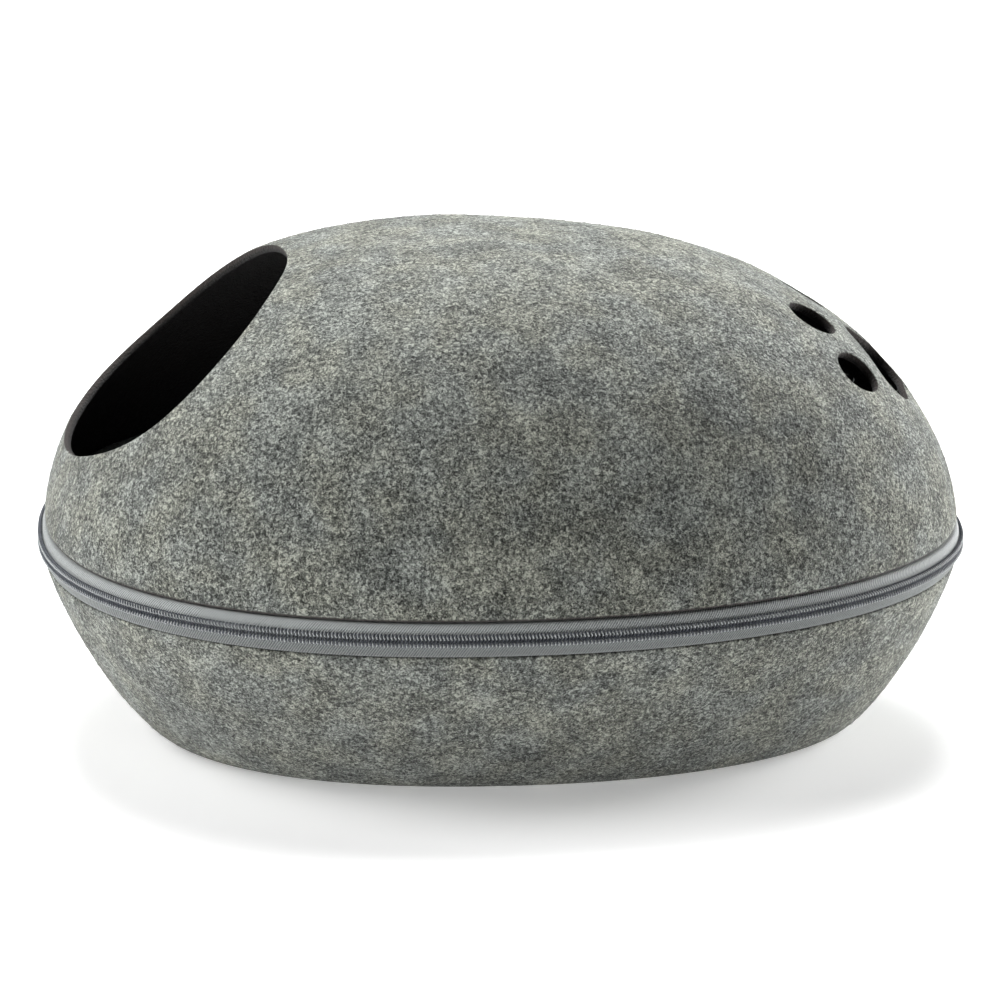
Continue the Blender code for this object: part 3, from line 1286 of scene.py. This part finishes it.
@dataclass
class ZipTape:
    """One woven tape: sewn behind the felt, led out under its edge, then along to the coil."""

    path: SeamPath
    half: Half
    felt: float = 4.5 * MM
    thickness: float = 0.8 * MM
    gap: float = 0.3 * MM
    hem: float = 7.0 * MM  # depth behind the felt
    tuck: float = 0.9 * MM  # how far under the felt's edge the tape runs
    drop: float = 5.8 * MM  # from the felt's edge to the start of the coil
    stand: float = 0.7 * MM  # middle of the tape beyond the felt, at the coil
    solid: float = 1.0 * MM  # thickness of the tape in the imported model
    upper_lean: float = 1.2 * MM  # how far the dome leans in over the hem
    lower_lean: float = 4.2 * MM  # how far the bowl does
    # way from under the felt to the coil, in mm: beyond the felt's face, past the felt's edge;
    # the upper tape bows out below a shadow gap, the lower one slopes straight back
    upper_way_out: tuple[tuple[float, float], ...] = (
        (-3.6, 1.15), (-2.2, 1.2), (-0.9, 1.35), (-0.1, 1.95), (0.6, 3.6),
    )
    lower_way_out: tuple[tuple[float, float], ...] = (
        (-3.6, 0.6), (-2.2, 0.55), (-0.9, 0.55), (-0.1, 1.3), (0.15, 3.7),
    )

    def build(self, finish: bpy.types.Material) -> bpy.types.Object:
        """Make, unwrap and dress the tape.

        Args:
            finish: The tape's material.

        Returns:
            The finished piece.
        """
        section = self.section()
        seams = [self.path.ring(out, height) for out, height in section]
        rings = [np.stack([seam[place] for seam in seams]) for place in range(self.path.around)]
        tape = grid_mesh(f"{self.half.word}_zip_tape", rings, wrap=True)
        self.unwrap(tape, section)
        dress(tape, finish, sharp=70)
        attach(tape, "root")
        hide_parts(f"{self.half.word}_tape")
        self.width()
        self.path.length(0.0)
        report(tape)
        return tape

    def middle_line(self) -> list[tuple[float, float]]:
        """Middle of the tape's thickness, from the hem to the coil.

        Returns:
            Distance beyond the felt's edge and height of each corner.
        """
        edge = self.half.pick(self.path.form.dome_edge, self.path.form.bowl_edge)
        into, towards_middle = self.half.value, -self.half.value
        behind = -(self.felt + self.gap + self.solid / 2)
        wall_in = self.half.pick(self.upper_lean, self.lower_lean)
        face = self.stand + (self.solid - self.thickness) / 2
        start = [
            (behind - wall_in, edge + into * self.hem),
            (behind - wall_in / 2, edge + into * self.hem / 2),
            (behind, edge + towards_middle * self.tuck),
        ]
        way_out = self.half.pick(self.upper_way_out, self.lower_way_out)
        bend = [(out * MM, edge + towards_middle * past * MM) for out, past in way_out]
        end = [
            (face, edge + towards_middle * self.drop),
            (face, self.path.middle - towards_middle * self.gap / 2),
        ]
        return [*start, *bend, *end]

    def section(self) -> list[tuple[float, float]]:
        """Closed section of the tape, with its bends rounded.

        Returns:
            Distance beyond the felt's edge and height of each point.
        """
        line = np.array(self.middle_line())
        for _ in range(ROUNDINGS):
            inner = [line[0]]
            for here, after in zip(line, line[1:]):
                for share in (CORNER_CUT, 1 - CORNER_CUT):
                    inner.append((1 - share) * here + share * after)
            line = np.array([*inner, line[-1]])
        slope = np.gradient(line, axis=0)
        slope /= np.linalg.norm(slope, axis=1)[:, None]
        sides = np.stack([-slope[:, 1], slope[:, 0]], axis=1) * self.thickness / 2
        return [tuple(row) for row in (*(line + sides), *reversed(line - sides))]

    def width(self) -> float:
        """Width of the tape before it is bent."""
        line = np.array(self.middle_line())
        return float(np.linalg.norm(np.diff(line, axis=0), axis=1).sum())

    def unwrap(self, tape: bpy.types.Object, section: list[tuple[float, float]]) -> None:
        """Give the tape a UV map in metres: along the seam and across the tape.

        Args:
            tape: The tape's object, whose points run ring by ring.
            section: Its section.
        """
        count, rings = len(section), self.path.around
        outline = np.array([*section, section[0]])
        sides = np.linalg.norm(np.diff(outline, axis=0), axis=1)
        across = np.concatenate([[0.0], np.cumsum(sides)])
        step = self.path.length(0.0) / rings
        corners = np.empty(len(tape.data.loops), dtype=int)
        tape.data.loops.foreach_get("vertex_index", corners)
        ring, place = np.divmod(corners.reshape(-1, 4), count)
        # a face that joins the last ring or place to the first ends at the full length, not at 0
        last_ring = (ring.max(axis=1) == rings - 1)[:, None] & (ring == 0)
        ring = np.where(last_ring, rings, ring)
        last_place = (place.max(axis=1) == count - 1)[:, None] & (place == 0)
        place = np.where(last_place, count, place)
        layer = tape.data.uv_layers.new(name="tape")
        layer.data.foreach_set("uv", np.stack([ring * step, across[place]], axis=-1).ravel())


class NodeSheet:
    """A geometry tree with named inputs, put on an object as its modifier."""

    def __init__(self, name: str, **inputs: str) -> None:
        """Start a tree that takes and gives geometry.

        Args:
            name: Name of the tree.
            inputs: Kind of each named input, such as Float; the name has _ for a space.
        """
        self.tree = bpy.data.node_groups.new(name, "GeometryNodeTree")
        self.tree.is_modifier = True
        sockets = self.tree.interface
        sockets.new_socket("Geometry", in_out="INPUT", socket_type="NodeSocketGeometry")
        sockets.new_socket("Geometry", in_out="OUTPUT", socket_type="NodeSocketGeometry")
        self.entry = self.tree.nodes.new("NodeGroupInput")
        self.identifiers: dict[str, str] = {}
        for word, kind in inputs.items():
            socket = sockets.new_socket(
                word.replace("_", " "), in_out="INPUT", socket_type=f"NodeSocket{kind}",
            )
            self.identifiers[word] = socket.identifier

    def given(self, name: str) -> bpy.types.NodeSocket:
        """The socket inside the tree that carries an input."""
        return self.entry.outputs[name]

    def add(self, kind: str, settings: dict | None = None, **inputs: object) -> bpy.types.Node:
        """Add a node to this tree, as add_node does."""
        return add_node(self.tree, kind, settings, **inputs)

    def math(self, operation: str, *values: Feed | float) -> bpy.types.Node:
        """Add a sum of one to three numbers."""
        terms = {f"i{place}": value for place, value in enumerate(values)}
        return self.add("ShaderNodeMath", {"operation": operation}, **terms)

    def random(self, seed: Feed, low: Feed | float, high: Feed | float) -> bpy.types.NodeSocket:
        """A random number between two others, for each instance."""
        settings = {"data_type": "FLOAT"}
        return self.add("FunctionNodeRandomValue", settings, Seed=seed, i2=low, i3=high).outputs[1]

    def varied(self, seed: Feed) -> bpy.types.NodeSocket:
        """A random factor for each instance, at most Unevenness away from 1."""
        spread = self.given("Unevenness")
        return self.random(seed, self.math("SUBTRACT", 1.0, spread), self.math("ADD", 1.0, spread))

    def tube(self, line: Feed, sides: Feed | int, radius: Feed) -> bpy.types.Node:
        """Round strand along a line."""
        section = self.add("GeometryNodeCurvePrimitiveCircle", Resolution=sides, Radius=radius)
        return self.add("GeometryNodeCurveToMesh", Curve=line, Profile_Curve=section)

    def finish(self, geometry: bpy.types.Node) -> None:
        """Realize the instances, set the material and end the tree.

        Args:
            geometry: Node that gives the finished geometry.
        """
        real = self.add("GeometryNodeRealizeInstances", Geometry=geometry)
        finish = self.given("Material")
        dressed = self.add("GeometryNodeSetMaterial", Geometry=real, Material=finish)
        self.add("NodeGroupOutput", Geometry=dressed)

    def put_on(self, item: bpy.types.Object, **values: object) -> None:
        """Run the tree on an object with given inputs and keep the result as its mesh.

        Args:
            item: Object that carries the modifier.
            values: Inputs by name, with _ for a space.
        """
        modifier = item.modifiers.new(self.tree.name, "NODES")
        modifier.node_group = self.tree
        for name, value in values.items():
            modifier[self.identifiers[name]] = value
        apply_modifiers(item)


def fuzz_tree() -> NodeSheet:
    """Tree that scatters short bent fibres over the outer face of a felt shell.

    Returns:
        The tree.
    """
    sheet = NodeSheet(
        "felt_fuzz", Density="Float", Face_Depth="Float", Lowest="Float", Length="Float",
        Lift="Float", Fibre_Radius="Float", Unevenness="Float", Seed="Int", Material="Material",
    )
    length, seed = sheet.given("Length"), sheet.given("Seed")
    depth = sheet.add("GeometryNodeInputNamedAttribute", {"data_type": "FLOAT"}, Name="depth")
    on_face = sheet.math("LESS_THAN", depth.outputs["Attribute"], sheet.given("Face Depth"))
    spot = sheet.add("ShaderNodeSeparateXYZ", i0=sheet.add("GeometryNodeInputPosition"))
    clear = sheet.math("GREATER_THAN", spot.outputs[2], sheet.given("Lowest"))
    roots = sheet.add(
        "GeometryNodeDistributePointsOnFaces", Mesh=sheet.given("Geometry"),
        Selection=sheet.math("MULTIPLY", on_face, clear), Density=sheet.given("Density"), Seed=seed,
    )
    # one fibre: a low bow along X that leaves the face and bends aside towards its far end
    raised = sheet.math("MULTIPLY", length, sheet.given("Lift"))
    half_way = sheet.math("MULTIPLY", length, 0.5)
    aside, end_rise = sheet.math("MULTIPLY", raised, 0.8), sheet.math("MULTIPLY", raised, 0.5)
    fibre = sheet.add(
        "GeometryNodeCurveQuadraticBezier", Resolution=2, Start=(0.0, 0.0, 0.0),
        Middle=sheet.add("ShaderNodeCombineXYZ", X=half_way, Z=raised),
        End=sheet.add("ShaderNodeCombineXYZ", X=length, Y=aside, Z=end_rise),
    )
    spin = sheet.random(seed, 0.0, 2 * math.pi)
    facing = sheet.add(
        "FunctionNodeRotateRotation", {"rotation_space": "LOCAL"},
        Rotation=roots.outputs["Rotation"], Rotate_By=sheet.add("ShaderNodeCombineXYZ", Z=spin),
    )
    sheet.finish(sheet.add(
        "GeometryNodeInstanceOnPoints", Points=roots, Rotation=facing,
        Instance=sheet.tube(fibre, 3, sheet.given("Fibre Radius")),
        Scale=sheet.varied(sheet.math("ADD", seed, 1)),
    ))
    return sheet


def coil_tree() -> NodeSheet:
    """Tree that winds a wire round a closed line, with flat front and back legs.

    Returns:
        The tree.
    """
    sheet = NodeSheet(
        "wound_coil", Turns="Int", Points_Per_Turn="Int", Half_Depth="Float", Half_Height="Float",
        Flatness="Float", Phase="Float", Wire_Radius="Float", Wire_Sides="Int", Side="Float",
        Material="Material",
    )
    per_turn = sheet.given("Points Per Turn")
    line = sheet.add("GeometryNodeMeshToCurve", Mesh=sheet.given("Geometry"))
    count = sheet.math("MULTIPLY", sheet.given("Turns"), per_turn)
    dotted = sheet.add("GeometryNodeResampleCurve", Curve=line, Count=count)
    share = sheet.math("DIVIDE", sheet.add("GeometryNodeInputIndex"), per_turn)
    turn = sheet.math("MULTIPLY", sheet.math("ADD", share, sheet.given("Phase")), 2 * math.pi)
    swing = sheet.math("MULTIPLY", sheet.math("COSINE", turn), sheet.given("Flatness"))
    flat = sheet.add("ShaderNodeClamp", Value=swing, Min=-1.0, Max=1.0)
    out = sheet.math("MULTIPLY", flat, sheet.given("Half Depth"))
    rise = sheet.math("MULTIPLY", sheet.math("SINE", turn), sheet.given("Half Height"))
    rise = sheet.math("MULTIPLY", rise, sheet.given("Side"))
    outward = sheet.add(
        "ShaderNodeVectorMath", {"operation": "CROSS_PRODUCT"},
        i0=sheet.add("GeometryNodeInputTangent"), i1=(0, 0, 1),
    )
    level = sheet.add("ShaderNodeVectorMath", {"operation": "SCALE"}, i0=outward, Scale=out)
    up = sheet.add("ShaderNodeCombineXYZ", Z=rise)
    offset = sheet.add("ShaderNodeVectorMath", {"operation": "ADD"}, i0=level, i1=up)
    wound = sheet.add("GeometryNodeSetPosition", Geometry=dotted, Offset=offset)
    sheet.finish(sheet.tube(wound, sheet.given("Wire Sides"), sheet.given("Wire Radius")))
    return sheet


def stitch_tree() -> NodeSheet:
    """Tree that sets one loop of thread across a coil between each two of its turns.

    Returns:
        The tree.
    """
    sheet = NodeSheet(
        "coil_stitches", Count="Int", Half_Height="Float", Half_Depth="Float", Lean="Float",
        Thread_Radius="Float", Thread_Sides="Int", Loop_Points="Int", Unevenness="Float",
        Seed="Int", Material="Material",
    )
    line = sheet.add("GeometryNodeMeshToCurve", Mesh=sheet.given("Geometry"))
    dotted = sheet.add("GeometryNodeResampleCurve", Curve=line, Count=sheet.given("Count"))
    # one loop: an arch over the coil, in the plane square to the seam, leaning along it
    points = sheet.given("Loop Points")
    arch = sheet.add("GeometryNodeCurvePrimitiveCircle", Resolution=points, Radius=1.0)
    place = sheet.add("ShaderNodeSeparateXYZ", i0=sheet.add("GeometryNodeInputPosition"))
    high = sheet.math("MULTIPLY", place.outputs[0], sheet.given("Half Height"))
    deep = sheet.math("MULTIPLY", place.outputs[1], sheet.given("Half Depth"))
    along = sheet.math("MULTIPLY", high, sheet.given("Lean"))
    spot = sheet.add("ShaderNodeCombineXYZ", X=along, Y=deep, Z=high)
    loop = sheet.add("GeometryNodeSetPosition", Geometry=arch, Position=spot)
    facing = sheet.add(
        "FunctionNodeAlignRotationToVector", {"axis": "X", "pivot_axis": "Z"},
        Vector=sheet.add("GeometryNodeInputTangent"),
    )
    tall = sheet.varied(sheet.given("Seed"))
    sheet.finish(sheet.add(
        "GeometryNodeInstanceOnPoints", Points=dotted, Rotation=facing,
        Instance=sheet.tube(loop, sheet.given("Thread Sides"), sheet.given("Thread Radius")),
        Scale=sheet.add("ShaderNodeCombineXYZ", X=1.0, Y=1.0, Z=tall),
    ))
    return sheet


@dataclass
class ZipCoil:
    """One side of the zip's chain: a wound nylon wire, with the thread that sews it down."""

    path: SeamPath
    half: Half
    pitch: float = 1.8 * MM
    wire: float = 0.62 * MM
    depth: float = 2.0 * MM  # over the wire
    past_middle: float = 0.35 * MM  # how far the heads reach between those of the other side
    upper_back: float = 3.9 * MM  # from the middle line to the outer bends
    lower_back: float = 3.0 * MM
    inner_face: float = 1.5 * MM  # where the coil starts, beyond the felt
    points_per_turn: int = 12
    flatness: float = 1.35  # above 1 the legs in front and behind run straight
    lower_phase: float = 0.5  # turns by which the lower coil is behind, so that the two mesh
    strand_sides: int = 5  # of the wire and of the thread
    stitch_from: float = 1.05 * MM
    upper_stitch_to: float = 2.9 * MM
    lower_stitch_to: float = 2.7 * MM
    upper_slant: float = 0.4  # how far a stitch runs along the seam for each step across it
    lower_slant: float = 0.08
    stitch_thread: float = 0.55 * MM
    stitch_slack: float = 0.1 * MM  # how far the thread's middle stands off the coil
    stitch_unevenness: float = 0.12
    loop_points: int = 8
    upper_seed: int = 7
    lower_seed: int = 8

    def build(self, nylon: bpy.types.Material, thread: bpy.types.Material) -> list[bpy.types.Object]:
        """Wind the coil and sew it down.

        Args:
            nylon: Material of the wire.
            thread: Material of the sewing thread.

        Returns:
            The coil and its stitches.
        """
        out = self.inner_face + self.depth / 2
        turns = round(self.path.length(out) / self.pitch)
        coil = self.wind(out, turns, nylon)
        stitches = self.sew(out, turns, thread)
        for piece in (coil, stitches):
            piece.data.shade_smooth()
            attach(piece, "root")
            report(piece)
        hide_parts(f"{self.half.word}_coil")
        return [coil, stitches]

    def wind(self, out: float, turns: int, finish: bpy.types.Material) -> bpy.types.Object:
        """Make the wire.

        Args:
            out: Middle of the coil beyond the felt.
            turns: Number of turns round the cave.
            finish: The wire's material.

        Returns:
            The coil, as a plain mesh.
        """
        back = self.half.pick(self.upper_back, self.lower_back)
        centre = self.path.middle + self.half.value * (back - self.past_middle) / 2
        coil = self.path.wire(f"{self.half.word}_zip_coil", out, centre)
        coil_tree().put_on(
            coil,
            Turns=turns,
            Points_Per_Turn=self.points_per_turn,
            Half_Depth=(self.depth - self.wire) / 2,
            Half_Height=(back + self.past_middle - self.wire) / 2,
            Flatness=self.flatness,
            Phase=self.half.pick(0.0, self.lower_phase),
            Wire_Radius=self.wire / 2,
            Wire_Sides=self.strand_sides,
            Side=float(self.half.value),
            Material=finish,
        )
        return coil

    def sew(self, out: float, turns: int, finish: bpy.types.Material) -> bpy.types.Object:
        """Make the thread loops that hold the coil to its tape.

        Args:
            out: Middle of the coil beyond the felt.
            turns: Number of stitches round the cave, one for each turn of the coil.
            finish: The thread's material.

        Returns:
            The stitches, as a plain mesh.
        """
        stitch_to = self.half.pick(self.upper_stitch_to, self.lower_stitch_to)
        centre = self.path.middle + self.half.value * (self.stitch_from + stitch_to) / 2
        stitches = self.path.wire(f"{self.half.word}_coil_stitches", out, centre)
        stitch_tree().put_on(
            stitches,
            Count=turns,
            Half_Height=(stitch_to - self.stitch_from) / 2,
            Half_Depth=self.depth / 2 + self.stitch_slack,
            Lean=-self.half.pick(self.upper_slant, self.lower_slant),
            Thread_Radius=self.stitch_thread / 2,
            Thread_Sides=self.strand_sides,
            Loop_Points=self.loop_points,
            Unevenness=self.stitch_unevenness,
            Seed=self.half.pick(self.upper_seed, self.lower_seed),
            Material=finish,
        )
        return stitches


# ---------------------------------------------------------------- stage


@dataclass
class Studio:
    """White floor, soft lights and the camera at the photograph's angle."""

    target: Vector = field(default_factory=lambda: Vector((-0.0009, -0.002, 0.1128)))
    camera_place: Vector = field(default_factory=lambda: Vector((-0.1983, -3.2992, 1.0706)))
    lens: float = 243.93
    sensor: float = 36.0  # width in mm
    sight: float = 50.0  # how far the camera sees, in metres
    roll: float = 0.727  # degrees
    floor_size: float = 12.0
    left_wall: float = 1.0  # brightness of the white wall on the left
    front_wall: float = 0.35
    ceiling: float = 0.25

    def build(self) -> None:
        """Make the floor, the lights and the camera."""
        self.floor()
        self.camera()
        self.lights()
        self.world()

    def floor(self) -> None:
        """Large plane that the cave stands on."""
        side = self.floor_size / 2
        mesh = bpy.data.meshes.new("studio_floor")
        corners = [(-side, -side, 0), (side, -side, 0), (side, side, 0), (-side, side, 0)]
        mesh.from_pydata(corners, [], [(0, 1, 2, 3)])
        mesh.materials.append(StudioFloor().build())
        floor = bpy.data.objects.new("studio_floor", mesh)
        bpy.context.scene.collection.objects.link(floor)

    def camera(self) -> None:
        """Long lens, a little above the cave."""
        data = bpy.data.cameras.new("studio_camera")
        data.lens = self.lens
        data.sensor_width = self.sensor
        data.clip_end = self.sight
        camera = bpy.data.objects.new("studio_camera", data)
        aim = (self.target - self.camera_place).to_track_quat("-Z", "Y")
        turn = Matrix.Rotation(math.radians(self.roll), 4, "Z")
        camera.matrix_world = Matrix.Translation(self.camera_place) @ aim.to_matrix().to_4x4() @ turn
        bpy.context.scene.collection.objects.link(camera)
        bpy.context.scene.camera = camera

    def lights(self) -> None:
        """Soft boxes above and at both sides."""
        table = [
            # name, place, size, power
            ("top", (0.0, 0.9, 1.7), 1.2, 60.0),
            ("left", (-1.35, -0.2, 1.1), 0.9, 22.0),
            ("right", (1.5, 0.7, 0.45), 0.9, 38.0),
            ("front", (-0.75, -1.4, 0.2), 0.9, 5.5),
        ]
        for name, place, size, power in table:
            data = bpy.data.lights.new(f"softbox_{name}", "AREA")
            data.shape = "SQUARE"
            data.size = size
            data.energy = power
            lamp = bpy.data.objects.new(f"softbox_{name}", data)
            lamp.location = place
            lamp.rotation_euler = (self.target - Vector(place)).to_track_quat("-Z", "Y").to_euler()
            bpy.context.scene.collection.objects.link(lamp)

    def world(self) -> None:
        """Dim studio round the cave, with a white wall on its left."""
        world = bpy.data.worlds.new("studio")
        world.use_nodes = True
        tree = world.node_tree
        backdrop = tree.nodes["Background"]
        way = add_node(tree, "ShaderNodeSeparateXYZ", i0=add_node(tree, "ShaderNodeTexCoord"))
        strength = 0.0
        for axis, dark_from, bright_from, brightness in (
            # part of a direction along the axis where a wall is dark, and where it is bright
            (0, -0.3, -1.0, self.left_wall),
            (1, 0.2, -0.9, self.front_wall),
            (2, 0.25, 0.95, self.ceiling),
        ):
            part = add_node(
                tree, "ShaderNodeMapRange", {"interpolation_type": "SMOOTHSTEP"},
                i0=way.outputs[axis], i1=dark_from, i2=bright_from, i3=0.0, i4=brightness,
            )
            strength = add_node(tree, "ShaderNodeMath", {"operation": "ADD"}, i0=part, i1=strength)
        tree.links.new(strength.outputs[0], backdrop.inputs["Strength"])
        bpy.context.scene.world = world
        bpy.context.scene.view_settings.view_transform = "Standard"


LOWER_BLANK = (0.54, 0.46)  # oval blank of the bowl, before it was pressed
# painted shade: a darker copy of the same tape for the lower one, which faces down into shade
SHADED_LOWER_TAPE = WovenTape("woven_polyester_tape_shaded", thread="#858988", between="#404446")
OPENINGS = (
    Opening("entrance", -0.1777, 0.0, 0.147, 0.1932, lean=45, swell=0.058),
    Opening("toe_inner_front", 0.1540, -0.0247, 0.0295, 0.0244, turn=36.7),
    Opening("toe_inner_back", 0.1540, 0.0247, 0.0295, 0.0244, turn=-36.7),
    Opening("toe_outer_front", 0.1754, -0.0482, 0.0290, 0.0248, turn=46.5),
    Opening("toe_outer_back", 0.1754, 0.0482, 0.0290, 0.0248, turn=-46.5),
    Opening("pad", 0.1903, 0.0, 0.0449, 0.0581, corner=0.014),
)


def main() -> None:
    """Build the cave's pieces in order, then the studio."""
    logging.basicConfig(level=logging.INFO, format="%(name)s: %(message)s")
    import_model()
    form = CaveForm.from_frame()
    LOG.info("form: %s", form)
    felt, fibre = HeatheredFelt().build(), LooseFibre().build()
    lower, _ = FeltShell(form, Half.LOWER, rows=44, flat=LOWER_BLANK).build(felt, fibre)
    FeltShell(form, Half.UPPER, openings=OPENINGS, rests_on=(lower.name,)).build(felt, fibre)
    path = SeamPath(form)
    nylon, thread = NylonCoil().build(), SewingThread().build()
    for half, woven in ((Half.UPPER, WovenTape()), (Half.LOWER, SHADED_LOWER_TAPE)):
        ZipTape(path, half).build(woven.build())
        ZipCoil(path, half).build(nylon, thread)
    Studio().build()


if __name__ == "__main__":
    main()
